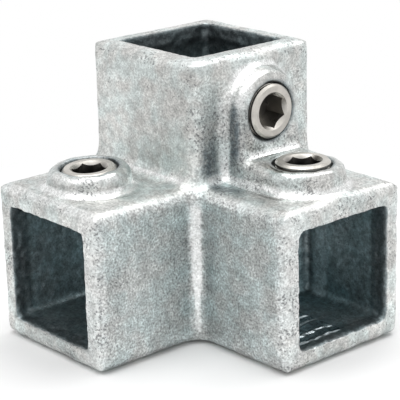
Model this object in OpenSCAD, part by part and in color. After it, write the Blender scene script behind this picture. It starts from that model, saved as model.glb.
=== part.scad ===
// Three-way corner connector for square tube: one iron casting with three blind
// sockets, and a hexagon socket set screw in a boss over each socket.
// The origin lies on the base plane, under the axis of the upright socket.

/* [Tube] */
// Side of the square tube that each socket takes
tube_w = 25; // [20:0.5:40]
// Play of the tube in its socket
tube_play = 0.5; // [0.3:0.1:1.5]

/* [Casting] */
// Wall of the casting around a socket
wall = 5.15; // [4.5:0.05:8]
// Length of each arm, from the corner block to its mouth
arm_len = 27.2; // [25:0.1:50]
// Depth of each blind socket
socket_depth = 24; // [22:0.5:27]
// Radius of the corners inside a socket
socket_r = 1; // [0.5:0.1:2]
// Depth of the wider lead-in at a socket's mouth
lead_depth = 4; // [2:0.5:5]
// Step of the lead-in on each side
lead_step = 0.35; // [0.1:0.05:0.6]
// Radius of the long outer edges
edge_r = 3; // [1:0.1:4]
// Radius of the outer edges around a mouth
mouth_r = 2; // [1:0.1:3]
// Radius of the fillets where two arms meet
root_r = 3; // [1:0.1:4]

/* [Bosses] */
// Distance of each screw's axis from the mouth of its socket
screw_inset = 12.5; // [11:0.1:14]
// Height of the joined bosses of the post and the right arm above their faces
boss_h = 5.4; // [4:0.1:7]
// Height of the left arm's boss above its face
left_boss_h = 4.6; // [4:0.1:7]
// Width of the ring of metal around the tapped hole
boss_ring = 3.3; // [2.5:0.1:3.8]
// Radius of the upper edge of a boss
boss_round = 2; // [0.5:0.1:2.4]
// Radius of the fillet at the foot of a boss
boss_fillet = 2.4; // [1:0.1:3]
// Radius of the bend in which the post's boss runs into the boss below it
web_r = 1.6; // [0.5:0.1:3]

/* [Set screws] */
// Outer diameter of the thread
screw_d = 12; // [10:0.1:13]
// How far a screw's tip stays out of the socket when its upper end is level with the lower boss
tip_back = 0.2; // [0:0.05:1]
// Height of the post's screw above its boss
post_proud = 0.2; // [0:0.05:0.6]
// Height of the right arm's screw above its boss
right_proud = 0.4; // [0:0.05:0.6]
// Height of the left arm's screw above its boss
left_proud = 0; // [0:0.05:0.6]
// Gap on the radius between a screw and its tapped hole
screw_gap = 0.05; // [0.02:0.01:0.1]
// Chamfer at both ends of a screw
screw_chamfer = 0.5; // [0.3:0.1:1.2]
// Width across the flats of the hexagon socket
hex_af = 6.8; // [5:0.1:8]
// Thickness of metal between the hexagon socket and the cup
hex_floor = 2.3; // [1.5:0.1:4]
// Width of the countersink around the hexagon's corners
hex_lead = 0.3; // [0.1:0.1:0.6]
// Turn of the post screw's hexagon
post_turn = 8; // [0:1:60]
// Turn of the right screw's hexagon
right_turn = 50; // [0:1:60]
// Turn of the left screw's hexagon
left_turn = 45; // [0:1:60]
// Radius of the cup in the tip of a screw
cup_r = 3; // [2:0.1:4]
// Depth of the cup
cup_depth = 1.2; // [0.5:0.1:1.5]
// Countersink at the mouth of a tapped hole
hole_chamfer = 0.5; // [0.2:0.1:0.8]

/* [Hidden] */
$fn = 64;
socket_w = tube_w + tube_play;
half = socket_w / 2 + wall;
outer_w = 2 * half;
reach = half + arm_len;
screw_at = reach - screw_inset;
boss_r = screw_d / 2 + boss_ring;
boss_top = half + boss_h;
left_boss_top = half + left_boss_h;
web_at = boss_h + web_r;
hole_r = screw_d / 2 + screw_gap;
screw_len = wall + min(boss_h, left_boss_h) - tip_back;
hex_depth = screw_len - cup_depth - hex_floor;
hex_r = hex_af / sqrt(3);
hex_mouth_r = hex_r + hex_lead;
over = 1;

// Outline of a square with round corners
module soft_square(w, r) {
  square([w - 2 * r, w], center = true);
  square([w, w - 2 * r], center = true);
  for (x = [-1, 1], y = [-1, 1])
    translate([x, y] * (w / 2 - r)) circle(r);
}

// Strip as wide as an arm, with round ends of a radius, around a line across the arm
module round_strip(at, r) {
  translate([0, at]) square([outer_w - 2 * r, 2 * r], center = true);
  for (x = [-1, 1])
    translate([x * (half - r), at]) circle(r);
}

// Outline of an arm seen from the side, from the back of the corner to its mouth
module arm_side() {
  round_strip(edge_r - half, edge_r);
  round_strip(reach - mouth_r, mouth_r);
  translate([-half, edge_r - half]) square([outer_w, half + reach - edge_r - mouth_r]);
}

// Solid arm along +Z, with every outer edge round
module arm() {
  intersection() {
    translate([0, 0, -half]) linear_extrude(half + reach) soft_square(outer_w, edge_r);
    intersection_for (turn = [0, 90])
      rotate([90, 0, turn]) linear_extrude(2 * outer_w, center = true) arm_side();
  }
}

// Arms turned from +Z to the three ways out of the corner
module each_way() {
  children();
  rotate([0, 90, 0]) children();
  rotate([90, 0, 0]) children();
}

// Quarter bend that gives two arms, along +Z and +X, a fillet where they meet
module bend() {
  translate([half + root_r, 0, half + root_r])
    rotate([90, 0, 0]) rotate([0, 0, 180]) rotate_extrude(angle = 90)
      translate([half + root_r, 0]) soft_square(outer_w, edge_r);
}

// Half section of a boss's crown: round upper edge and straight flank, sunk into its arm
module crown_section(height, sunk) {
  translate([0, -sunk]) {
    square([boss_r - boss_round, height + sunk]);
    square([boss_r, height - boss_round + sunk]);
  }
  translate([boss_r, height] - [boss_round, boss_round]) circle(boss_round);
}

// Half section of a boss: its crown, with a fillet at the foot
module boss_section(height) {
  foot_r = min(boss_fillet, height - boss_round);
  crown_section(height, over);
  difference() {
    translate([0, -over]) square([boss_r + foot_r, foot_r + over]);
    translate([boss_r + foot_r, foot_r]) circle(foot_r);
  }
}

module both_halves() {
  children();
  mirror([1, 0]) children();
}

module boss(height) {
  rotate_extrude() boss_section(height);
}

// Boss that runs on along +X as far as the other arm
module long_boss() {
  boss(boss_h);
  rotate([90, 0, 90]) linear_extrude(screw_at - half + over) both_halves() boss_section(boss_h);
}

// Quarter bend in which the upright arm's long boss runs into the long boss below it
module boss_bend() {
  translate([half + web_at, 0, half + web_at])
    rotate([90, 0, 0]) rotate([0, 0, 180]) rotate_extrude(angle = 90)
      translate([web_at, 0]) rotate(90) both_halves() crown_section(boss_h, web_at * (sqrt(2) - 1) + over);
}

// Blind square socket with its wider lead-in
module socket() {
  translate([0, 0, reach - socket_depth])
    linear_extrude(socket_depth + over) soft_square(socket_w, socket_r);
  translate([0, 0, reach - lead_depth])
    linear_extrude(lead_depth + over) soft_square(socket_w + 2 * lead_step, socket_r);
}

// Tapped hole from a boss's upper face, at z = 0, down into the socket
module tapped_hole(height) {
  translate([0, 0, -wall - height - over]) cylinder(h = wall + height + 2 * over, r = hole_r);
  translate([0, 0, -hole_chamfer])
    cylinder(h = hole_chamfer + over, r1 = hole_r, r2 = hole_r + hole_chamfer + over);
}

// Places of the three screws: what points to +Z at the origin stands on each boss
module on_post(height) {
  translate([height, 0, half + screw_at]) rotate([0, 90, 0]) children();
}

module on_right_arm(height) {
  translate([screw_at, 0, half + height]) children();
}

module on_left_arm(height) {
  translate([0, -screw_at, half + height]) children();
}

module corner_casting() {
  color("silver") difference() {
    union() {
      translate([0, 0, half]) {
        each_way() arm();
        bend();
        rotate([0, 0, -90]) bend();
        rotate([-90, 0, 0]) rotate([0, 90, 0]) bend();
        boss_bend();
      }
      on_post(half) long_boss();
      on_right_arm(half) rotate(180) long_boss();
      on_left_arm(half) boss(left_boss_h);
    }
    translate([0, 0, half]) each_way() socket();
    on_post(boss_top) tapped_hole(boss_h);
    on_right_arm(boss_top) tapped_hole(boss_h);
    on_left_arm(left_boss_top) tapped_hole(left_boss_h);
  }
}

// Set screw along Z with its upper end at z = 0, and its hexagon turned about Z
module set_screw(turn) {
  r = screw_d / 2;
  color("rosybrown") difference() {
    rotate_extrude() polygon([
      [0, 0],
      [r - screw_chamfer, 0],
      [r, -screw_chamfer],
      [r, screw_chamfer - screw_len],
      [r - screw_chamfer, -screw_len],
      [cup_r, -screw_len],
      [0, cup_depth - screw_len]
    ]);
    rotate(turn) translate([0, 0, -hex_depth]) cylinder(h = hex_depth + over, r = hex_r, $fn = 6);
    translate([0, 0, -hex_mouth_r]) cylinder(h = hex_mouth_r + over, r1 = 0, r2 = hex_mouth_r + over);
  }
}

module post_set_screw() {
  on_post(boss_top + post_proud) set_screw(post_turn);
}

module right_set_screw() {
  on_right_arm(boss_top + right_proud) set_screw(right_turn);
}

module left_set_screw() {
  on_left_arm(left_boss_top + left_proud) set_screw(left_turn);
}

corner_casting();
post_set_screw();
right_set_screw();
left_set_screw();
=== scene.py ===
# %% [markdown]
# # A galvanised corner for square tube
#
# This lesson dresses a small iron casting: three square arms that meet at right angles, a blind
# socket in each, and a set screw over each socket that clamps the tube. The CAD model already has
# every size. What is missing is what makes it look like metal from a foundry: soft uneven edges,
# a skin of zinc that ran and froze, real threads, and a finish that is never one flat grey.

# %% Frame
import math

import bpy
import numpy as np
from mathutils import Matrix, Vector
from mathutils.bvhtree import BVHTree


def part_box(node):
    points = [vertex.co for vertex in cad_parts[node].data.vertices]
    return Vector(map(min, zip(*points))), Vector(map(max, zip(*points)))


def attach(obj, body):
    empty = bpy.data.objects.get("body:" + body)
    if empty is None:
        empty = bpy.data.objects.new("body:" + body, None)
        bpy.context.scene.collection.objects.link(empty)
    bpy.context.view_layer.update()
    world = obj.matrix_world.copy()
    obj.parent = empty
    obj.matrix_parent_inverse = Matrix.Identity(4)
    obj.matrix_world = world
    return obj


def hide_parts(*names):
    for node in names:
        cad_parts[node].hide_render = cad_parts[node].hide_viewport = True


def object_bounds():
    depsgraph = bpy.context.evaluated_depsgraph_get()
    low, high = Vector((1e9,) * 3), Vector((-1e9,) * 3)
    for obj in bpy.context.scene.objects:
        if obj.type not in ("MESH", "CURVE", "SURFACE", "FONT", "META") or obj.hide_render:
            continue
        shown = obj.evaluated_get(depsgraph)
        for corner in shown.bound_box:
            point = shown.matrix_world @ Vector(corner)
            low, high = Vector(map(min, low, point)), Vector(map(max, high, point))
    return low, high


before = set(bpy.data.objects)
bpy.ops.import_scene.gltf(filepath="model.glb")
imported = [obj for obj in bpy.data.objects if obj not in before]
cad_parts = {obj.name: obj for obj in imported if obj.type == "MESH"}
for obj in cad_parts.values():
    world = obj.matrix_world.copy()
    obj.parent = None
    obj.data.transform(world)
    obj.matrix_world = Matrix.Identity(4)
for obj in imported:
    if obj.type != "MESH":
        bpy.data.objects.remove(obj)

mm = 0.001
cad_low, cad_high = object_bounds()
print("CAD box in mm:", [round(c / mm, 2) for c in (*cad_low, *cad_high)])

# %% [markdown]
# ## The camera
#
# The photograph was taken from a little above, with a lens that shows clear perspective. We place
# the camera by a point that it looks at, its distance from it, and three angles. Turning about Z,
# then tipping about X, then rolling about its own axis gives the same angles that a photographer
# would name. The photograph is square, so the focal length in pixels gives the lens.

# %% Camera
PHOTO_SIDE_PX = 400
FOCAL_PX = 1626.4
LOOK_AT = Vector((13.97, -13.27, 31.30)) * mm
CAMERA_DISTANCE = 355.5 * mm
AZIMUTH, ELEVATION, ROLL = (math.radians(angle) for angle in (49.36, 17.90, -1.46))


def add_camera():
    turn = Matrix.Rotation(AZIMUTH, 4, "Z") @ Matrix.Rotation(math.pi / 2 - ELEVATION, 4, "X")
    back = turn.to_3x3() @ Vector((0, 0, 1))
    bpy.ops.object.camera_add()
    camera = bpy.context.object
    camera.name = "photo_camera"
    place = Matrix.Translation(LOOK_AT + back * CAMERA_DISTANCE)
    camera.matrix_world = place @ turn @ Matrix.Rotation(ROLL, 4, "Z")
    camera.data.lens = FOCAL_PX / PHOTO_SIDE_PX * camera.data.sensor_width
    camera.data.clip_start = 10 * mm
    bpy.context.scene.camera = camera
    print(f"camera: lens {camera.data.lens:.1f} mm, eye {[round(c / mm, 1) for c in place.translation]} mm")


add_camera()

# %% [markdown]
# ## Helpers for modelling
#
# Operators act on whatever is selected, and the CAD nodes are still selected after loading. So we
# start each step by selecting one object and nothing else. A modifier that is applied at once is
# the same as the menu's Apply. Points are read in millimetres, because the real sizes are.

# %% Helpers for selecting and applying


def select_only(obj):
    if bpy.context.mode != "OBJECT":
        bpy.ops.object.mode_set(mode="OBJECT")
    bpy.ops.object.select_all(action="DESELECT")
    obj.select_set(True)
    bpy.context.view_layer.objects.active = obj


def apply_modifier(obj, kind, **settings):
    select_only(obj)
    modifier = obj.modifiers.new(kind.lower(), kind)
    for name, value in settings.items():
        setattr(modifier, name, value)
    bpy.ops.object.modifier_apply(modifier=modifier.name)


def cut(obj, cutter, operation="DIFFERENCE"):
    apply_modifier(obj, "BOOLEAN", object=cutter, operation=operation, solver="EXACT")
    bpy.data.objects.remove(cutter)


def merge_doubles(obj, within=0.001 * mm):
    select_only(obj)
    bpy.ops.object.mode_set(mode="EDIT")
    bpy.ops.mesh.select_all(action="SELECT")
    bpy.ops.mesh.remove_doubles(threshold=within)
    bpy.ops.object.mode_set(mode="OBJECT")


def triangles(obj):
    return sum(len(polygon.vertices) - 2 for polygon in obj.data.polygons)


# %% Helpers for points and masks


def points_of(obj):
    points = np.zeros(len(obj.data.vertices) * 3)
    obj.data.vertices.foreach_get("co", points)
    return points.reshape(-1, 3) / mm


def normals_of(obj):
    normals = np.zeros(len(obj.data.vertices) * 3)
    obj.data.vertex_normals.foreach_get("vector", normals)
    return normals.reshape(-1, 3)


def ramp(values, start, end):
    t = np.clip((values - start) / (end - start), 0, 1)
    return t * t * (3 - 2 * t)


def weigh(obj, name, weights):
    group = obj.vertex_groups.new(name=name)
    for index in np.flatnonzero(weights > 0.001):
        group.add([int(index)], float(weights[index]), "REPLACE")
    return group.name


def paint(obj, name, values):
    attribute = obj.data.attributes.new(name, "FLOAT", "POINT")
    attribute.data.foreach_set("value", np.asarray(values, dtype=np.float32))


def edge_ends(obj):
    ends = np.zeros(len(obj.data.edges) * 2, dtype=np.int64)
    obj.data.edges.foreach_get("vertices", ends)
    return ends.reshape(-1, 2).T


def blurred(obj, values, rounds):
    """Mean of each point and its neighbours, a few times over."""
    first, second = edge_ends(obj)
    size = len(values)
    count = np.maximum(np.bincount(first, minlength=size) + np.bincount(second, minlength=size), 1)
    for _ in range(rounds):
        around = np.bincount(first, values[second], size) + np.bincount(second, values[first], size)
        values = (values + around / count) / 2
    return values


def curvature(obj, rounds=4):
    """Bend of the surface in 1/mm: above zero on an edge, below zero in a hollow."""
    points, normals = points_of(obj), normals_of(obj)
    first, second = edge_ends(obj)
    step = points[second] - points[first]
    length = np.maximum(np.linalg.norm(step, axis=1), 0.01)
    bend = np.einsum("ij,ij->i", normals[second] - normals[first], step) / length**2
    size = len(points)
    count = np.maximum(np.bincount(first, minlength=size) + np.bincount(second, minlength=size), 1)
    return blurred(obj, (np.bincount(first, bend, size) + np.bincount(second, bend, size)) / count, rounds)


def occlusion_shade(obj, far, directions=40, rounds=10):
    """Share of the sky over each point that the object itself hides within a distance."""
    tree = BVHTree.FromObject(obj, bpy.context.evaluated_depsgraph_get())
    step = np.arange(directions) + 0.5
    up = 1 - 2 * step / directions
    turn = step * math.pi * (3 - math.sqrt(5))
    level = np.sqrt(1 - up * up)
    rays = np.column_stack([level * np.cos(turn), level * np.sin(turn), up])
    points, normals = points_of(obj) * mm, normals_of(obj)
    facing = np.clip(normals @ rays.T, 0, None)
    starts = points + normals * 0.3 * mm
    hidden = np.zeros(len(points))
    for ray, shares in zip(rays, facing.T):
        aim = Vector(ray)
        for index in np.flatnonzero(shares > 0.1):
            if tree.ray_cast(Vector(starts[index]), aim, far)[0]:
                hidden[index] += shares[index]
    return blurred(obj, hidden / np.maximum(facing.sum(axis=1), 0.001), rounds)


# %% [markdown]
# ## The casting
#
# Sand moulds and molten zinc leave no sharp edge. We copy the CAD mesh, merge its loose triangles,
# fill its sockets with blocks, and remesh it into even small squares: that alone breaks every edge
# by about half a millimetre. Sculpting by hand would work too, but even squares also give the next
# modifiers something to push. The sockets come back later, with sharper edges.

# %% Arms in the frame
REACH = cad_high.x / mm
HALF = cad_high.z / mm - REACH
WALL = 5.15
SOCKET_HALF = HALF - WALL
SOCKET_DEPTH = 24
CROSSING = np.array([0, 0, HALF])
ARMS = {"post": np.array([0, 0, 1]), "right": np.array([1, 0, 0]), "left": np.array([0, -1, 0])}
ARM_TURN = {
    "post": Matrix.Identity(4),
    "right": Matrix.Rotation(math.pi / 2, 4, "Y"),
    "left": Matrix.Rotation(math.pi / 2, 4, "X"),
}


def along_and_off(points, axis):
    along = (points - CROSSING) @ axis
    off = np.abs(points - CROSSING - np.outer(along, axis)).max(axis=1)
    return along, off


def add_block(arm, half, bottom, top, taper=0.0, corner=0.0):
    """Square block in an arm, between two distances from the crossing, wider at its top by a taper."""
    bpy.ops.object.select_all(action="DESELECT")
    bpy.ops.mesh.primitive_cone_add(
        vertices=4, radius1=half * math.sqrt(2) * mm, radius2=(half + taper) * math.sqrt(2) * mm,
        depth=(top - bottom) * mm, location=(0, 0, (top + bottom) / 2 * mm), rotation=(0, 0, math.pi / 4),
    )
    block = bpy.context.object
    bpy.ops.object.transform_apply()
    if corner:
        apply_modifier(
            block, "BEVEL", width=corner * mm, segments=4, limit_method="ANGLE", angle_limit=math.radians(50)
        )
    block.data.transform(Matrix.Translation(CROSSING * mm) @ ARM_TURN[arm])
    block.data.update()
    return block


print(f"arms: {2 * HALF:.1f} mm square, mouths {REACH:.1f} mm from the crossing")

# %% Casting from the CAD mesh
VOXEL = 0.6 * mm
casting = bpy.data.objects.new("cast_corner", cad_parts["corner_casting"].data.copy())
bpy.context.scene.collection.objects.link(casting)
merge_doubles(casting)
for arm in ARMS:
    cut(casting, add_block(arm, SOCKET_HALF + 0.8, REACH - SOCKET_DEPTH - 0.5, REACH - 0.02), "UNION")
apply_modifier(casting, "REMESH", mode="VOXEL", voxel_size=VOXEL, use_smooth_shade=True)
apply_modifier(casting, "SMOOTH", factor=0.5, iterations=3)
group = weigh(casting, "creases", ramp(-curvature(casting, 2), 0.22, 0.45))
apply_modifier(casting, "SMOOTH", factor=0.5, iterations=12, vertex_group=group)
print("casting:", len(casting.data.vertices), "points,", triangles(casting), "triangles")

# %% [markdown]
# ## Uneven skin
#
# No face of a casting is flat and no edge is straight. Displace modifiers, driven by soft clouds,
# give the skin its slow waves. One more makes the edges wander: we find them by how sharply the
# surface bends, and weigh the points with that. All of them push inwards only, so that the casting
# stays inside its CAD size.

# %% Slow waves and wandering edges
WAVES = {"wide": (9 * mm, 0.16 * mm), "close": (2.6 * mm, 0.09 * mm)}
EDGE_WANDER = 0.45 * mm
EDGE_CLOUDS = 3.2 * mm


def add_clouds(name, size):
    clouds = bpy.data.textures.new(f"{name}_clouds", "CLOUDS")
    clouds.noise_scale = size
    return clouds


for name, (size, depth) in WAVES.items():
    apply_modifier(
        casting, "DISPLACE", texture=add_clouds(name, size), texture_coords="LOCAL",
        strength=depth, mid_level=1,
    )
group = weigh(casting, "edges", ramp(curvature(casting), 0.05, 0.3))
apply_modifier(
    casting, "DISPLACE", texture=add_clouds("edge", EDGE_CLOUDS), texture_coords="LOCAL",
    strength=EDGE_WANDER, mid_level=1, vertex_group=group,
)
print(f"skin: waves in {len(WAVES)} sizes, edges that wander by up to {EDGE_WANDER / mm:.2f} mm")

# %% [markdown]
# ## Tapped holes
#
# The remesh blurred the holes in the bosses, so we drill them again after it: a Boolean with a
# cylinder. The holes are wider than the screws and not quite centred, which leaves the uneven dark
# ring that shows around each of them. On the left arm the screw leans a little, and the back of its
# boss stands higher, so we lift that before drilling.

# %% Places of the screws
SCREWS = {"post_set_screw": "post_screw", "right_set_screw": "right_screw", "left_set_screw": "left_screw"}
SCREW_OUTWARD = {
    "post_set_screw": Vector((1, 0, 0)),
    "right_set_screw": Vector((0, 0, 1)),
    "left_set_screw": Vector((0, 0, 1)),
}
screw_low, screw_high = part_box("left_set_screw")
SCREW_LEN = screw_high.z - screw_low.z
SCREW_R = (screw_high.x - screw_low.x) / 2
LEAN = {"left_set_screw": Vector((0.004, -0.06, 1))}


def stand_on(obj, node, turn=0.0, aside=(0, 0, 0)):
    """Move a mesh that is made with its upper end at the origin to a screw's place."""
    outward = SCREW_OUTWARD[node]
    low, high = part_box(node)
    top = (low + high) / 2 + outward * SCREW_LEN / 2
    tip_over = Vector((0, 0, 1)).rotation_difference(LEAN.get(node, outward)).to_matrix().to_4x4()
    place = Matrix.Translation(top + Vector(aside)) @ tip_over @ Matrix.Rotation(turn, 4, "Z")
    obj.data.transform(place)
    obj.data.update()


print(f"screws: {2 * SCREW_R / mm:.1f} mm across, {SCREW_LEN / mm:.1f} mm long")

# %% Leaning boss
BOSS_LIFT = 0.6 * mm


def lift_weights(points):
    """Upper part of the left arm's boss, more at its back than at its front."""
    away = points - np.array((screw_low + screw_high) / 2) / mm
    off = np.hypot(away[:, 0], away[:, 1])
    top = ramp(points[:, 2], 2 * HALF + 1, 2 * HALF + 4) * (1 - ramp(off, 10, 11))
    return top * ramp(away[:, 1], -9, 9)


group = weigh(casting, "lift", lift_weights(points_of(casting)))
apply_modifier(casting, "DISPLACE", strength=BOSS_LIFT, mid_level=0, direction="Z", vertex_group=group)
print(f"left boss: back lifted by {BOSS_LIFT / mm:.1f} mm")

# %% Drilled holes
HOLE_GAP = {"post_set_screw": 0.15 * mm, "right_set_screw": 0.5 * mm, "left_set_screw": 0.45 * mm}
HOLE_ASIDE = {
    "post_set_screw": (0, -0.06 * mm, -0.08 * mm),
    "right_set_screw": (-0.34 * mm, -0.14 * mm, 0),
    "left_set_screw": (-0.08 * mm, 0.12 * mm, 0),
}
for node, aside in HOLE_ASIDE.items():
    radius, depth = SCREW_R + HOLE_GAP[node], 2 * (SCREW_LEN + WALL * mm)
    bpy.ops.object.select_all(action="DESELECT")
    bpy.ops.mesh.primitive_cylinder_add(vertices=96, radius=radius, depth=depth)
    drill = bpy.context.object
    stand_on(drill, node, aside=aside)
    cut(casting, drill)
print("casting drilled:", triangles(casting), "triangles")

# %% [markdown]
# ## Sockets
#
# A foundry makes a hollow with a core, a block of baked sand that the iron flows around. We do the
# same with a Boolean cut. Each core is three blocks: a long one for the socket, a short wider one for
# its lead-in, and a flared one that takes the sharp inner edge off the mouth. They are joined and
# remeshed into one skin, then roughened, because a rough core leaves a rough wall.

# %% Cores
LEAD_DEPTH = 4
LEAD_STEP = 0.15
CORE_CORNER = 1.5
MOUTH_CORNER = {"post": 1.0, "right": 1.3, "left": 0.5}
FLARE = {"post": 0.35, "right": 0.7, "left": 0.45}
OVER = 1.5
CORE_VOXEL = 0.55 * mm
CORE_GRAIN = 1.5 * mm
CORE_ROUGH = 0.5 * mm


def soften_end(core, axis):
    """Rounder edges at the inner end of a core."""
    along, _ = along_and_off(points_of(core), axis)
    group = weigh(core, "inner_end", 1 - ramp(along, REACH - SOCKET_DEPTH + 6, REACH - LEAD_DEPTH - 4))
    apply_modifier(core, "SMOOTH", factor=0.5, iterations=14, vertex_group=group)


def add_core(arm):
    wide = SOCKET_HALF + LEAD_STEP
    core = add_block(arm, SOCKET_HALF, REACH - SOCKET_DEPTH, REACH - 1, 0, CORE_CORNER)
    lead = add_block(arm, wide, REACH - LEAD_DEPTH, REACH + 4, 0.3, CORE_CORNER)
    taper = FLARE[arm] + OVER
    flare = add_block(arm, wide, REACH - FLARE[arm], REACH + OVER, taper, MOUTH_CORNER[arm])
    select_only(core)
    for block in (lead, flare):
        block.select_set(True)
    bpy.ops.object.join()
    apply_modifier(core, "REMESH", mode="VOXEL", voxel_size=CORE_VOXEL, use_smooth_shade=True)
    apply_modifier(core, "SMOOTH", factor=0.5, iterations=4)
    if arm == "right":
        soften_end(core, ARMS[arm])
    apply_modifier(
        core, "DISPLACE", texture=add_clouds("core", CORE_GRAIN), texture_coords="LOCAL",
        strength=CORE_ROUGH, mid_level=0.5,
    )
    return core


for arm in ARMS:
    cut(casting, add_core(arm))
merge_doubles(casting, 0.01 * mm)
print("casting with sockets:", triangles(casting), "triangles")

# %% [markdown]
# ## The set screws
#
# A set screw is a threaded rod with a chamfer at each end, a hexagon socket for a key and a cup in
# its tip that bites into the tube. We make it once, the way a lathe would: a thread from the Screw
# modifier, cut to length, then the chamfers by a Boolean with a turned blank.

# %% Thread
PITCH = 1.34 * mm
THREAD_DEPTH = 0.8 * mm
TURN_STEPS = 72
PROFILE = [(0, 0), (0.12, 0), (0.44, 1), (0.56, 1), (0.88, 0), (1, 0)]
SPARE = 0.5 * mm
COLLAR = 0.9 * mm


def add_thread():
    turns = math.ceil(SCREW_LEN / PITCH) + 3
    mesh = bpy.data.meshes.new("thread")
    root = SCREW_R - THREAD_DEPTH
    rows = [(root + out * THREAD_DEPTH, 0, (up - 2) * PITCH - SCREW_LEN) for up, out in PROFILE]
    mesh.from_pydata(rows, [(i, i + 1) for i in range(len(rows) - 1)], [])
    thread = bpy.data.objects.new("thread", mesh)
    bpy.context.scene.collection.objects.link(thread)
    apply_modifier(
        thread, "SCREW", axis="Z", angle=2 * math.pi, screw_offset=PITCH,
        iterations=turns, steps=TURN_STEPS, render_steps=TURN_STEPS,
    )
    merge_doubles(thread)
    bpy.ops.object.mode_set(mode="EDIT")
    for height, above in ((SPARE, True), (-SCREW_LEN - SPARE, False)):
        bpy.ops.mesh.select_all(action="SELECT")
        bpy.ops.mesh.bisect(
            plane_co=(0, 0, height), plane_no=(0, 0, 1), use_fill=True,
            clear_outer=above, clear_inner=not above, threshold=0.001 * mm,
        )
    bpy.ops.mesh.select_all(action="SELECT")
    bpy.ops.mesh.normals_make_consistent(inside=False)
    bpy.ops.object.mode_set(mode="OBJECT")
    bpy.ops.object.select_all(action="DESELECT")
    bpy.ops.mesh.primitive_cylinder_add(
        vertices=96, radius=SCREW_R + SPARE, depth=COLLAR + 2 * SPARE, location=(0, 0, SPARE - COLLAR / 2)
    )
    cut(thread, bpy.context.object, "UNION")
    return thread


# %% Blank, key socket and cup
END_CHAMFER = 0.5 * mm
HEX_AF = 6.8 * mm
HEX_R = HEX_AF / math.sqrt(3)
HEX_LEAD = 0.3 * mm
HEX_FLOOR = 2.3 * mm
CUP_R = 3 * mm
CUP_DEPTH = 1.2 * mm
HEX_DEPTH = SCREW_LEN - CUP_DEPTH - HEX_FLOOR


def add_blank():
    bpy.ops.object.select_all(action="DESELECT")
    bpy.ops.mesh.primitive_cylinder_add(
        vertices=96, radius=SCREW_R, depth=SCREW_LEN, location=(0, 0, -SCREW_LEN / 2)
    )
    blank = bpy.context.object
    bpy.ops.object.transform_apply()
    bpy.ops.object.mode_set(mode="EDIT")
    bpy.ops.mesh.select_mode(type="FACE")
    bpy.ops.mesh.select_all(action="DESELECT")
    bpy.ops.object.mode_set(mode="OBJECT")
    for face in blank.data.polygons:
        face.select = abs(face.normal.z) > 0.9
    bpy.ops.object.mode_set(mode="EDIT")
    bpy.ops.mesh.bevel(offset=END_CHAMFER, segments=1, affect="EDGES")
    bpy.ops.object.mode_set(mode="OBJECT")
    return blank


def add_key_socket():
    bpy.ops.object.select_all(action="DESELECT")
    bpy.ops.mesh.primitive_cylinder_add(vertices=6, radius=HEX_R, depth=2 * HEX_DEPTH)
    return bpy.context.object


def add_cone(lower_r, upper_r, depth, height=0.0):
    bpy.ops.object.select_all(action="DESELECT")
    bpy.ops.mesh.primitive_cone_add(
        vertices=96, radius1=lower_r, radius2=upper_r, depth=depth, location=(0, 0, height)
    )
    cone = bpy.context.object
    bpy.ops.object.transform_apply()
    return cone


# %% Screw
def add_set_screw():
    wide = HEX_R + HEX_LEAD
    screw = add_blank()
    cut(screw, add_thread(), "INTERSECT")
    cut(screw, add_key_socket())
    cut(screw, add_cone(0, 2 * wide, 2 * wide))
    cut(screw, add_cone(2 * CUP_R, 0, 2 * CUP_DEPTH, -SCREW_LEN))
    return screw


pattern = add_set_screw()
points = points_of(pattern)
radius = np.hypot(points[:, 0], points[:, 1])
in_key = (radius < HEX_R / mm + 0.05) * (points[:, 2] > -HEX_DEPTH / mm - 0.1)
paint(pattern, "lathe_radius", radius)
key_shade = ramp(-points[:, 2], 0.25, 1.6) * in_key
print("set screw:", triangles(pattern), "triangles")

# %% Three screws
# A new hexagon has its corners 30 degrees on from those of the CAD model's hexagon
HEX_START = 30
HEX_TURN = {"post_set_screw": 8, "right_set_screw": 50, "left_set_screw": 45}
# strength of the painted shade in each key socket; the post screw's facets that face up are spared
KEY_SHADE = {"post_set_screw": 0.75, "right_set_screw": 1.6, "left_set_screw": 1.6}
KEY_LIGHT = {"post_set_screw": 1.0, "right_set_screw": 0.0, "left_set_screw": 0.0}
SUNK = {"post_set_screw": 0, "right_set_screw": 0, "left_set_screw": 0.3 * mm}
set_screws = {}
for node, body in SCREWS.items():
    screw = bpy.data.objects.new(node.replace("set_screw", "threaded_screw"), pattern.data.copy())
    bpy.context.scene.collection.objects.link(screw)
    outward = SCREW_OUTWARD[node]
    stand_on(screw, node, math.radians(HEX_TURN[node] - HEX_START), -SUNK[node] * outward)
    normals = normals_of(screw)
    on_wall = np.abs(normals @ np.array(outward)) < 0.8
    lit = KEY_LIGHT[node] * ramp(normals[:, 2], 0.2, 0.6) * on_wall
    # painted shade deep in the key socket
    paint(screw, "key_shade", KEY_SHADE[node] * key_shade * (1 - lit))
    select_only(screw)
    bpy.ops.object.shade_smooth_by_angle(angle=math.radians(30))
    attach(screw, body)
    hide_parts(node)
    set_screws[node] = screw
bpy.data.objects.remove(pattern)
print("screws placed:", ", ".join(screw.name for screw in set_screws.values()))

# %% [markdown]
# ## Zinc
#
# Hot-dip zinc is a metal skin over rough iron: cloudy in colour, cool where it is thick and warm
# where it is thin, freckled with dark pits, and shinier in the hollows where it pooled. The sockets
# get painted shade, and some edges and fillets get painted highlights. We could paint all this by
# hand. Instead we work out masks from each point's place and from how the skin bends there, so that
# they follow every change of the shape.

# %% Shape of the skin
SKY_REACH = 14 * mm
PERCENT = [1, 10, 50, 90, 99]

select_only(casting)
bpy.ops.object.shade_smooth_by_angle(angle=math.radians(45))
curve = curvature(casting)
hidden = occlusion_shade(casting, SKY_REACH)
points, normals = points_of(casting), normals_of(casting)
x, y, z = points.T
face_x, face_y, face_z = normals.T
print("curvature per mm:", np.percentile(curve, PERCENT).round(3))
print("hidden sky:", np.percentile(hidden, PERCENT).round(3))
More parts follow.
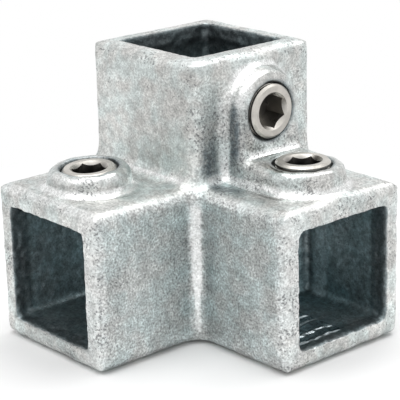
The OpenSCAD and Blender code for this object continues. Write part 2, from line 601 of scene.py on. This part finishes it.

# %% [markdown]
# ## Inside the sockets
#
# The lead-ins are darker towards their ends, one lower edge gets a painted highlight, one wall a
# painted light streak, and a tool left marks on one floor, which get painted highlight too. Each of
# these is a band between two distances, so one helper makes them all: it rises over one stretch and
# falls over another.

# %% Masks inside the sockets
MOUTH_RAMP = (0.1, 0.45)
CORE_EDGE = SOCKET_HALF + 0.8
SOCKET_FLOOR = HALF - SOCKET_HALF
SOCKET_END = REACH - SOCKET_DEPTH


def between(values, rise, fall):
    return ramp(values, *rise) * (1 - ramp(values, *fall))


def socket_mask(points):
    mask = np.zeros(len(points))
    for axis in ARMS.values():
        along, off = along_and_off(points, axis)
        mask = np.maximum(mask, ramp(REACH - along, *MOUTH_RAMP) * (off < CORE_EDGE) * (along > HALF))
    return mask


def floor_edge_highlight(points):
    """The edge along the floor of the left socket, which gets a painted highlight."""
    x, y, z = points.T
    corner = np.hypot(x + SOCKET_HALF, z - SOCKET_FLOOR)
    return (1 - ramp(corner, 0.75, 1.1)) * between(-y, (HALF, HALF + 2), (REACH - 5, REACH - 3))


def wall_light_streak(points):
    """A painted light streak on the wall of the right socket."""
    x, y, _ = points.T
    wall = between(y, (SOCKET_HALF - 2, SOCKET_HALF - 1), (SOCKET_HALF + 1, SOCKET_HALF + 2))
    return wall * between(x, (SOCKET_END + 0.3, SOCKET_END + 3), (SOCKET_END + 5, SOCKET_END + 7))


def ripple_patch(points):
    """Tool marks on the floor of the right socket, which also get a painted highlight."""
    x, y, z = points.T
    floor = 1 - ramp(z, SOCKET_FLOOR + 0.8, SOCKET_FLOOR + 1.6)
    return floor * between(x, (REACH - 21, REACH - 17), (REACH - 3, REACH - 2)) * (1 - ramp(y, 0, 7))


# %% Darker bands in the sockets
LEAD_LINE = ((LEAD_DEPTH - 1.2, LEAD_DEPTH - 0.6), (LEAD_DEPTH + 0.3, LEAD_DEPTH + 0.9))


def seam_mask(points):
    """The lead-ins, darkest at their ends, the left socket's floor and the right socket's far corner."""
    mask = np.zeros(len(points))
    _, y, z = points.T
    for arm, axis in ARMS.items():
        along, off = along_and_off(points, axis)
        depth = REACH - along
        mouth = ramp(depth, *MOUTH_RAMP)
        line = between(depth, *LEAD_LINE)
        if arm == "post":
            band = 0.8 * mouth * (1 - 0.6 * ramp(depth, LEAD_DEPTH, LEAD_DEPTH + 5))
        else:
            line = 0.6 * line * ramp(z, SOCKET_FLOOR + 0.6, SOCKET_FLOOR + 1.2)
            band = 0.7 * mouth * (1 - ramp(depth, LEAD_DEPTH - 1, LEAD_DEPTH))
        if arm == "left":
            floor = 1 - ramp(z, SOCKET_FLOOR + 0.4, SOCKET_FLOOR + 1.2)
            band = np.maximum(band, 0.4 * floor * (1 - floor_edge_highlight(points)))
        if arm == "right":
            far = ramp(depth, SOCKET_DEPTH - 2, SOCKET_DEPTH - 1)
            band = np.maximum(band, 0.6 * far * ramp(y, SOCKET_HALF - 2.5, SOCKET_HALF - 1.5))
        inner = (off < CORE_EDGE) * (depth > 0) * (depth < SOCKET_DEPTH + 1)
        mask = np.maximum(mask, np.maximum(line, band) * inner)
    return mask


# %% Painted sockets
inside = socket_mask(points)
edge_highlight, light_streak, marks = floor_edge_highlight(points), wall_light_streak(points), ripple_patch(points)
paler = 0.08 * ramp(x, HALF, HALF + 2) + 0.3 * light_streak + 0.6 * edge_highlight
# painted light: a highlight on the left floor edge, a streak on the right wall and the ripple patch
socket_painted_light = np.maximum.reduce([edge_highlight, 0.8 * light_streak, 0.6 * marks]) * inside
wet = np.maximum(0.7 * marks, 0.6 * edge_highlight) * inside
# painted shade inside the sockets, lighter in the right socket and where the painted light lies
paint(casting, "in_socket", inside * (1 - paler))
# the lead-ins, the left socket's floor and the right socket's far corner painted darker
paint(casting, "seam", seam_mask(points))
paint(casting, "ripples", marks * inside)
print(f"sockets: {np.mean(inside > 0.5):.0%} of the points")

# %% [markdown]
# ## Outside
#
# Two dark strips lie beside the post's boss: partly dross where zinc drained off, partly painted
# shade. The skin is coarser on that face, and dark specks crowd together in a few patches. The rims
# around the mouths are worn by the tubes that were pushed in.

# %% Masks around the screws
TOP = 2 * HALF


def from_screw(points, node):
    """Height of each point over a screw's middle, and its distance from the screw's axis."""
    outward = np.array(SCREW_OUTWARD[node])
    low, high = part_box(node)
    away = points - np.array((low + high) / 2) / mm
    along = away @ outward
    return along, np.linalg.norm(away - np.outer(along, outward), axis=1)


def boss_mask(points):
    """Everything that stands above the faces of the arms around a screw."""
    mask = np.zeros(len(points))
    for node, outward in SCREW_OUTWARD.items():
        _, off = from_screw(points, node)
        height = (points - CROSSING) @ np.array(outward) - HALF
        mask = np.maximum(mask, (1 - ramp(off, 11, 12)) * ramp(height, 0.5, 1.5))
    return mask


def hole_mask(points):
    """A narrow ring around each tapped hole."""
    mask = np.zeros(len(points))
    for node in SCREWS:
        along, off = from_screw(points, node)
        mask = np.maximum(mask, (1 - ramp(off - SCREW_R / mm, 0.4, 1.5)) * ramp(along, 0, 2))
    return mask


def groove_mask(points):
    """The two strips along the post's boss and the patch at their foot, dark as zinc residue and as painted
    shade.
    """
    x, y, z = points.T
    aside, out, up = -y, x - HALF, z - TOP
    flank = between(aside, (8.4, 9.0), (9.8, 10.4)) * (1 - ramp(up, 16, 22)) * ramp(out, 1.4, 2.4)
    flat = between(aside, (11.2, 12.2), (14.5, 17.2)) * (1 - ramp(up, 5, 17))
    haze = 0.25 * between(aside, (6, 8), (16.5, 18)) * (1 - ramp(up, 14, 24))
    strips = np.maximum.reduce([flank, flat, haze]) * ramp(out, -0.9, -0.3) * ramp(up - out, -0.5, 3)
    drip = 1 - ramp(np.abs(aside - 14.5 + 0.27 * (x - 18.5)), 0.6, 1.8)
    foot = 0.7 * drip * between(x, (18.5, 20), (24, 28)) * (1 - ramp(np.abs(up), 1, 2))
    return np.maximum(strips, foot)


# %% Masks on the faces
# Middle of each patch, its near and far radius, its squeeze along Z, and its strength
FRECKLES = [
    ((24, -10, 38), (4, 8), 1.0, 1.0),
    ((19, -13, 43), (4, 8), 0.6, 0.6),
    ((6.5, -38.5, 37.8), (1.5, 4.5), 1.0, 0.9),
    ((39.5, -6.5, 38.3), (1.5, 5), 1.0, 0.9),
    ((23, -7, 46), (3, 6), 0.6, 0.7),
    ((23, 5, 44), (3, 6), 1.0, 0.6),
]


def freckle_mask(points):
    """Patches where dark specks crowd together."""
    mask = np.zeros(len(points))
    for middle, (near, far), squeeze, strength in FRECKLES:
        away = np.linalg.norm((points - np.array(middle)) * np.array([1, 1, squeeze]), axis=1)
        mask = np.maximum(mask, strength * (1 - ramp(away, near, far)))
    return mask


def crust_mask(points):
    """The post's face with its boss, where the skin is coarser."""
    x, _, z = points.T
    return ramp(x, HALF - 1.5, HALF - 0.5) * between(z, (TOP - 1, TOP + 2), (55, 60))


def lee_mask(points):
    """The two faces that look at each other between the lying arms."""
    x, y, z = points.T
    edge = HALF - 1.5
    return ramp(x, edge, edge + 1) * ramp(-y, edge, edge + 1) * (1 - ramp(z, TOP - 1, TOP))


def rim_mask(points):
    """The flat faces around the mouths."""
    mask = np.zeros(len(points))
    for axis in ARMS.values():
        along, _ = along_and_off(points, axis)
        mask = np.maximum(mask, ramp(along, REACH - 1.6, REACH - 0.6))
    return mask


# %% Painted dross and shade
lee = lee_mask(points)
open_side = 1 - ramp(x, HALF - 5, HALF - 1)
dross_and_shade = np.maximum(groove_mask(points), hole_mask(points))
# dross and painted shade along the post's boss and around the tapped holes
paint(casting, "dross_and_shade", dross_and_shade)
# painted shade: darker where the object hides the sky close by, weaker towards -X
paint(casting, "occlusion_shade", ramp(hidden, 0.12, 0.55) * (1 - 0.9 * open_side))
# painted shade and coarser grain on the faces between the lying arms
paint(casting, "lee_shade_and_grain", lee)
paint(casting, "crust", crust_mask(points))
print(f"dross: {np.mean(dross_and_shade > 0.5):.1%} of the points")

# %% [markdown]
# ## Pooled and worn zinc, and painted highlights
#
# Melted zinc runs into the hollows and freezes there bright and smooth. The bend of the skin tells us
# where: below zero in a hollow, above zero on an edge. In the hollows between the arms only the middle
# of the fillet shines, so there the mask also asks that the normal is slanted: that bright middle is a
# painted highlight. Edges turned up and to the front, and the shoulder and brow of two bosses, get
# painted highlights in the same bright colour.

# %% Pools in the hollows
pool = ramp(-curve, 0.04, 0.15) * (1 - inside)
slant = np.sort(np.abs(normals), axis=1)[:, 1]
foot = lee * (1 - ramp(z, 8, TOP - 8))
root = open_side * (np.abs(z - TOP) < 4) * (np.abs(y + HALF) < 4)
rib = ramp(x, HALF - 2, HALF - 1) * between(-y, (7, 8), (13, 14)) * ramp(z - TOP, 3, 7)
start = np.maximum.reduce([np.full(len(points), 0.30), 0.36 * lee, 0.5 * foot, 0.54 * root])
# painted highlight: only the slanted middle of each fillet between the arms
narrow = pool * ramp(slant - start, 0, 0.16) * (1 - 0.8 * rib)
strict = np.maximum(lee, root)
pool_shine = pool * (1 - 0.6 * rib) * (1 - strict) + narrow * strict
print(f"pools: {np.mean(narrow > 0.5):.1%} of the points")

# %% Edges, crowns and rims
SLANT_RAMP = (0.2, 0.42)

on_boss = boss_mask(points)
edge = ramp(curve, 0.06, 0.2) * (1 - inside)
crown = edge * on_boss
bare = edge - crown
near = 1 - ramp(x, HALF + 8, HALF + 26)
# painted highlights on edges turned up and to the front
crest = bare * ramp(face_x * face_z, *SLANT_RAMP) * (1 - 0.6 * ramp(z, 50, 56))
ledge = bare * ramp(-face_y * face_z, *SLANT_RAMP) * near * (1 - ramp(z, 40, 42))
corner = bare * ramp(-face_x * face_y, *SLANT_RAMP) * (1 - ramp(z, 33, 36))
# painted highlight on the upper-left shoulder of the post's boss
shoulder = on_boss * ramp(x, HALF + 0.3, HALF + 1.2) * ramp(z, 50, 53)
shoulder = shoulder * ramp(-face_y, 0.15, 0.4) * ramp(face_z, 0.1, 0.35)
_, off_left_screw = from_screw(points, "left_set_screw")
# painted highlight on the front crown of the left boss
brow = (1 - ramp(off_left_screw, 10, 11)) * ramp(z, TOP + 2.6, TOP + 3.6)
brow = brow * ramp(face_x - face_y, 0.2, 0.6)
rim = rim_mask(points) * (1 - inside)
lip = rim * ramp(np.minimum(x, -y), 10, 14)
print(f"edges: {np.mean(edge > 0.5):.0%} of the points, rims: {np.mean(rim > 0.5):.0%}")

# %% Painted pools and edges
freckles = freckle_mask(points)
gloss = np.maximum.reduce([pool_shine, 0.75 * crown, 0.3 * (edge - crest), 0.15 * crest])
# pooled zinc, paler outer rims, and painted highlights: fillet middles, edges, shoulder, brow and the
# sockets' painted light
bright = [
    narrow * (1 - 0.4 * (lee - foot)), socket_painted_light,
    0.3 * crest, 0.7 * ledge, 0.4 * corner, 0.5 * lip, 0.8 * shoulder, 0.6 * brow,
]
paint(casting, "pool_gloss", np.maximum(gloss * (1 - 0.8 * freckles), wet))
paint(casting, "pool_and_highlight", np.maximum.reduce(bright))
paint(casting, "worn_edge", np.maximum.reduce([bare - crest - ledge, 0.85 * rim, 1.5 * freckles]))
masks = [attribute.name for attribute in casting.data.attributes if attribute.data_type == "FLOAT"]
print("painted masks:", ", ".join(masks))

# %% [markdown]
# ## Node helpers
#
# A material can be wired by hand in the shader editor. In a script, a few short helpers keep it
# readable: each adds one node, sets its values, links its inputs and hands back its output.

# %% Node helpers


def new_material(name):
    material = bpy.data.materials.new(name)
    material.use_nodes = True
    tree = material.node_tree
    return material, tree, tree.nodes["Principled BSDF"]


def add_node(tree, kind, links=None, **settings):
    node = tree.nodes.new(kind)
    for name, value in settings.items():
        if name in node.inputs:
            node.inputs[name].default_value = value
        else:
            setattr(node, name, value)
    for name, socket in (links or {}).items():
        tree.links.new(socket, node.inputs[name])
    return node


def noise(tree, place, size_mm, detail=2.0, roughness=0.5):
    made = add_node(
        tree, "ShaderNodeTexNoise", {"Vector": place},
        Scale=1 / (size_mm * mm), Detail=detail, Roughness=roughness,
    )
    return made.outputs[0]


def spread(tree, value, low, high, to_low=0.0, to_high=1.0):
    made = add_node(
        tree, "ShaderNodeMapRange", {"Value": value},
        **{"From Min": low, "From Max": high, "To Min": to_low, "To Max": to_high},
    )
    made.interpolation_type = "SMOOTHSTEP"
    return made.outputs["Result"]


def math_node(tree, operation, first, second):
    made = add_node(tree, "ShaderNodeMath", operation=operation)
    for socket, value in zip(made.inputs, (first, second)):
        if isinstance(value, (int, float)):
            socket.default_value = value
        else:
            tree.links.new(value, socket)
    return made.outputs["Value"]


def mix_colour(tree, factor, first, second, blend="MIX"):
    made = add_node(tree, "ShaderNodeMix", data_type="RGBA", blend_type=blend)
    sockets = [made.inputs[0], made.inputs[6], made.inputs[7]]
    for socket, value in zip(sockets, (factor, first, second)):
        if isinstance(value, (int, float)):
            socket.default_value = value
        elif isinstance(value, tuple):
            socket.default_value = (*value, 1)
        else:
            tree.links.new(value, socket)
    return made.outputs[2]


def shaded(tree, colour, shade):
    grey = add_node(tree, "ShaderNodeCombineColor", {"Red": shade, "Green": shade, "Blue": shade})
    return mix_colour(tree, 1.0, colour, grey.outputs["Color"], "MULTIPLY")


def painted(tree, name):
    return add_node(tree, "ShaderNodeAttribute", attribute_name=name).outputs["Fac"]


# %% [markdown]
# ## The zinc material
#
# Seen from a step away the zinc is one cool grey, and from close by it is never the same twice. Noises
# of five sizes, from clouds to grain, tint and shade it. The painted masks then say where it is dirty,
# bright, coarse or smooth. The ripples in one socket are a bump, because they are finer than the mesh.

# %% Zinc material
COOL_ZINC = (0.608, 0.656, 0.646)
WARM_ZINC = (0.668, 0.668, 0.650)
# pooled zinc and painted highlights
POOL_AND_HIGHLIGHT_ZINC = (0.86, 0.87, 0.865)
# painted shade on the faces between the lying arms
LEE_SHADE_ZINC = (0.955, 0.975, 0.99)
# painted shade where the object hides the sky
OCCLUSION_SHADE_ZINC = (0.68, 0.76, 0.78)
# dross and painted shade
DROSS_AND_SHADE = (0.15, 0.18, 0.195)
DARK_SPECK = (0.13, 0.135, 0.14)
# painted shade inside the sockets
SOCKET_SHADE = (0.80, 0.90, 0.95)
# colour of the darker lead-ins and socket corners
SEAM_DARK = (0.028, 0.036, 0.04)
RIPPLES_PER_M = 300
RIPPLE_HEIGHT = 1.0 * mm
SCALE_HEIGHT = 0.12 * mm
ZINC_MASKS = (
    "in_socket", "seam", "dross_and_shade", "occlusion_shade", "lee_shade_and_grain", "pool_and_highlight", "pool_gloss", "worn_edge", "crust",
)


def zinc_fields(tree):
    """The noises and the painted masks that colour, gloss and bump share."""
    place = add_node(tree, "ShaderNodeTexCoord").outputs["Object"]
    fields = {name: painted(tree, name) for name in ZINC_MASKS}
    fields["place"] = place
    fields["tint"] = noise(tree, place, 5.5, 2)
    fields["cloud"] = noise(tree, place, 11, 3)
    fields["mottle"] = noise(tree, place, 2.6, 2)
    fields["scales"] = noise(tree, place, 1.2, 3, 0.65)
    fields["grain"] = noise(tree, place, 0.48, 3, 0.65)
    rare = noise(tree, place, 6, 2)
    rare = math_node(tree, "ADD", rare, math_node(tree, "MULTIPLY", fields["worn_edge"], 0.25))
    specks = math_node(tree, "ADD", noise(tree, place, 0.6, 2), math_node(tree, "MULTIPLY", rare, 0.45))
    fields["specks"] = spread(tree, specks, 0.92, 0.98)
    return fields


def zinc_colour(tree, fields):
    hollow, lee, pool = fields["occlusion_shade"], fields["lee_shade_and_grain"], fields["pool_and_highlight"]
    scales, grain = fields["scales"], fields["grain"]
    colour = mix_colour(tree, spread(tree, fields["tint"], 0.35, 0.65), COOL_ZINC, WARM_ZINC)
    colour = shaded(tree, colour, spread(tree, fields["cloud"], 0.3, 0.7, 1.12, 0.88))
    colour = shaded(tree, colour, spread(tree, fields["mottle"], 0.25, 0.75, 0.86, 1.14))
    # painted shade on the faces between the lying arms
    colour = mix_colour(tree, lee, colour, LEE_SHADE_ZINC, "MULTIPLY")
    # painted shade where the object hides the sky
    colour = mix_colour(tree, hollow, colour, OCCLUSION_SHADE_ZINC, "MULTIPLY")
    # pooled zinc and painted highlights
    colour = mix_colour(tree, math_node(tree, "MULTIPLY", pool, 0.9), colour, POOL_AND_HIGHLIGHT_ZINC)
    # dross and painted shade along the post's boss and around the holes
    ragged = math_node(tree, "MULTIPLY", fields["dross_and_shade"], spread(tree, scales, 0.3, 0.6, 0.45, 1.0))
    colour = mix_colour(tree, ragged, colour, DROSS_AND_SHADE)
    coarse = spread(tree, fields["cloud"], 0.35, 0.65, 0.25, 0.5)
    coarse = math_node(tree, "ADD", coarse, math_node(tree, "MULTIPLY", lee, 0.5))
    coarse = math_node(tree, "ADD", coarse, math_node(tree, "MULTIPLY", fields["crust"], 0.4))
    coarse = math_node(tree, "MULTIPLY", coarse, spread(tree, fields["pool_gloss"], 0, 1, 1, 0.15))
    soft = shaded(tree, colour, spread(tree, grain, 0.3, 0.7, 0.84, 1.1))
    strong = shaded(tree, colour, spread(tree, grain, 0.3, 0.7, 0.45, 1.32))
    colour = mix_colour(tree, coarse, soft, strong)
    colour = shaded(tree, colour, spread(tree, scales, 0.3, 0.7, 0.85, 1.12))
    colour = mix_colour(tree, math_node(tree, "MULTIPLY", fields["specks"], 0.7), colour, DARK_SPECK)
    # painted shade inside the sockets
    skin = shaded(tree, colour, spread(tree, scales, 0.3, 0.7, 0.75, 1.0))
    skin = mix_colour(tree, 1.0, skin, SOCKET_SHADE, "MULTIPLY")
    colour = mix_colour(tree, fields["in_socket"], colour, skin)
    # the lead-ins and socket corners painted darker
    return mix_colour(tree, math_node(tree, "MULTIPLY", fields["seam"], 0.9), colour, SEAM_DARK)


def zinc_material():
    material, tree, shader = new_material("galvanised_zinc")
    fields = zinc_fields(tree)
    tree.links.new(zinc_colour(tree, fields), shader.inputs["Base Color"])
    shader.inputs["Metallic"].default_value = 1.0
    clear = math_node(tree, "SUBTRACT", 1.0, fields["dross_and_shade"])
    smooth = math_node(tree, "MULTIPLY", fields["pool_gloss"], clear)
    sleek = math_node(tree, "MAXIMUM", smooth, math_node(tree, "MULTIPLY", fields["in_socket"], 0.1))
    tree.links.new(spread(tree, sleek, 0, 1, 0.44, 0.18), shader.inputs["Roughness"])
    height = math_node(tree, "ADD", fields["scales"], math_node(tree, "MULTIPLY", fields["grain"], 0.6))
    height = math_node(tree, "SUBTRACT", height, math_node(tree, "MULTIPLY", fields["specks"], 0.5))
    bump = add_node(tree, "ShaderNodeBump", {"Height": height}, Distance=SCALE_HEIGHT)
    tree.links.new(spread(tree, smooth, 0, 1, 0.7, 0.08), bump.inputs["Strength"])
    waves = add_node(
        tree, "ShaderNodeTexWave", {"Vector": fields["place"]},
        Scale=RIPPLES_PER_M * math.pi / 10, Distortion=5.0, Detail=3.0,
    )
    links = {"Height": waves.outputs["Fac"], "Strength": painted(tree, "ripples")}
    links["Normal"] = bump.outputs["Normal"]
    ripples = add_node(tree, "ShaderNodeBump", links, Distance=RIPPLE_HEIGHT)
    tree.links.new(ripples.outputs["Normal"], shader.inputs["Normal"])
    return material


casting.data.materials.clear()
casting.data.materials.append(zinc_material())
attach(casting, "corner")
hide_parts("corner_casting")
print("zinc:", len(casting.data.materials[0].node_tree.nodes), "nodes")

# %% [markdown]
# ## The turned steel
#
# The screws are plain stainless steel from a lathe, slightly warm beside the zinc. A lathe leaves fine
# rings, which an anisotropic shader could suggest. Here a noise along the painted radius makes them
# as a bump. Painted shade blackens the key socket by its depth, less on the post screw's facets that
# face up, and darkens a thin ring at each screw's outer edge.

# %% Screw material
TURNED_STEEL = (0.62, 0.595, 0.55)
SMUDGED_STEEL = (0.50, 0.48, 0.445)
KEY_BLACK = (0.05, 0.05, 0.05)


def turned_material():
    material, tree, shader = new_material("turned_steel")
    place = add_node(tree, "ShaderNodeTexCoord").outputs["Object"]
    smudge = noise(tree, place, 3, 3)
    colour = mix_colour(tree, spread(tree, smudge, 0.35, 0.65), TURNED_STEEL, SMUDGED_STEEL)
    # painted shade deep in the key socket
    deep = math_node(tree, "POWER", painted(tree, "key_shade"), 0.6)
    # painted shade: a thin dark ring at the screw's outer edge, where it meets the hole
    rim = spread(tree, painted(tree, "lathe_radius"), SCREW_R / mm - 0.06, SCREW_R / mm - 0.01)
    rim = math_node(tree, "MULTIPLY", rim, 0.6)
    colour = mix_colour(tree, math_node(tree, "MAXIMUM", deep, rim), colour, KEY_BLACK)
    tree.links.new(colour, shader.inputs["Base Color"])
    shader.inputs["Metallic"].default_value = 1.0
    tree.links.new(spread(tree, smudge, 0.3, 0.7, 0.26, 0.4), shader.inputs["Roughness"])
    radius = add_node(tree, "ShaderNodeCombineXYZ", {"X": painted(tree, "lathe_radius")}).outputs["Vector"]
    rings = add_node(tree, "ShaderNodeTexNoise", {"Vector": radius}, Scale=9.0, Detail=2.0).outputs[0]
    bump = add_node(tree, "ShaderNodeBump", {"Height": rings}, Strength=0.8, Distance=0.03 * mm)
    tree.links.new(bump.outputs["Normal"], shader.inputs["Normal"])
    return material


steel = turned_material()
for screw in set_screws.values():
    screw.data.materials.clear()
    screw.data.materials.append(steel)
print("steel:", len(steel.node_tree.nodes), "nodes")

# %% [markdown]
# ## Floor and light
#
# The part lies in a white studio: a pale floor, a big soft lamp overhead and white all round. Metal
# shows its surroundings, so the white has to be there in the reflections too.

# %% Floor
FLOOR_R = 1.5
SHADOW_R = 0.07
CLEAR_R = 0.13


def white_rays(tree):
    rays = add_node(tree, "ShaderNodeLightPath").outputs
    seen = math_node(tree, "MAXIMUM", rays["Is Camera Ray"], rays["Is Glossy Ray"])
    return math_node(tree, "MAXIMUM", seen, rays["Is Transmission Ray"])


def add_floor():
    bpy.ops.object.select_all(action="DESELECT")
    bpy.ops.mesh.primitive_circle_add(vertices=96, radius=FLOOR_R, fill_type="NGON")
    floor = bpy.context.object
    floor.name = "studio_floor"
    material, tree, shader = new_material("pale_floor")
    shader.inputs["Base Color"].default_value = (0.9, 0.9, 0.9, 1)
    shader.inputs["Roughness"].default_value = 1.0
    shader.inputs["Specular IOR Level"].default_value = 0.0
    place = add_node(tree, "ShaderNodeTexCoord").outputs["Object"]
    far = add_node(tree, "ShaderNodeVectorMath", {"Vector": place}, operation="LENGTH").outputs["Value"]
    fade = spread(tree, far, SHADOW_R, CLEAR_R)
    white = add_node(tree, "ShaderNodeEmission", Strength=1.0).outputs["Emission"]
    factor = math_node(tree, "MULTIPLY", fade, white_rays(tree))
    mixed = add_node(tree, "ShaderNodeMixShader", {0: factor, 1: shader.outputs["BSDF"], 2: white})
    tree.links.new(mixed.outputs["Shader"], tree.nodes["Material Output"].inputs["Surface"])
    floor.data.materials.append(material)


add_floor()
print(f"floor: {2 * FLOOR_R:.1f} m across")

# %% Light
WORLD_FILL = 0.7
LAMP_PLACE = (0.04, 0.02, 0.65)
LAMP_SIDES = (0.50, 1.15)
LAMP_RADIANCE = 2.2


def white_world():
    world = bpy.data.worlds.new("white_studio")
    bpy.context.scene.world = world
    world.use_nodes = True
    tree = world.node_tree
    strength = spread(tree, white_rays(tree), 0, 1, WORLD_FILL, 1.0)
    tree.links.new(strength, tree.nodes["Background"].inputs["Strength"])
    tree.nodes["Background"].inputs["Color"].default_value = (1, 1, 1, 1)


def add_softbox():
    bpy.ops.object.select_all(action="DESELECT")
    bpy.ops.object.light_add(type="AREA", location=LAMP_PLACE)
    lamp = bpy.context.object
    lamp.name = "overhead_softbox"
    lamp.data.shape = "RECTANGLE"
    lamp.data.size, lamp.data.size_y = LAMP_SIDES
    lamp.data.energy = math.pi * LAMP_SIDES[0] * LAMP_SIDES[1] * LAMP_RADIANCE


white_world()
add_softbox()
bpy.context.scene.view_settings.view_transform = "Standard"
print(f"softbox: {LAMP_SIDES[0]:.2f} by {LAMP_SIDES[1]:.2f} m, {LAMP_PLACE[2]:.2f} m up")
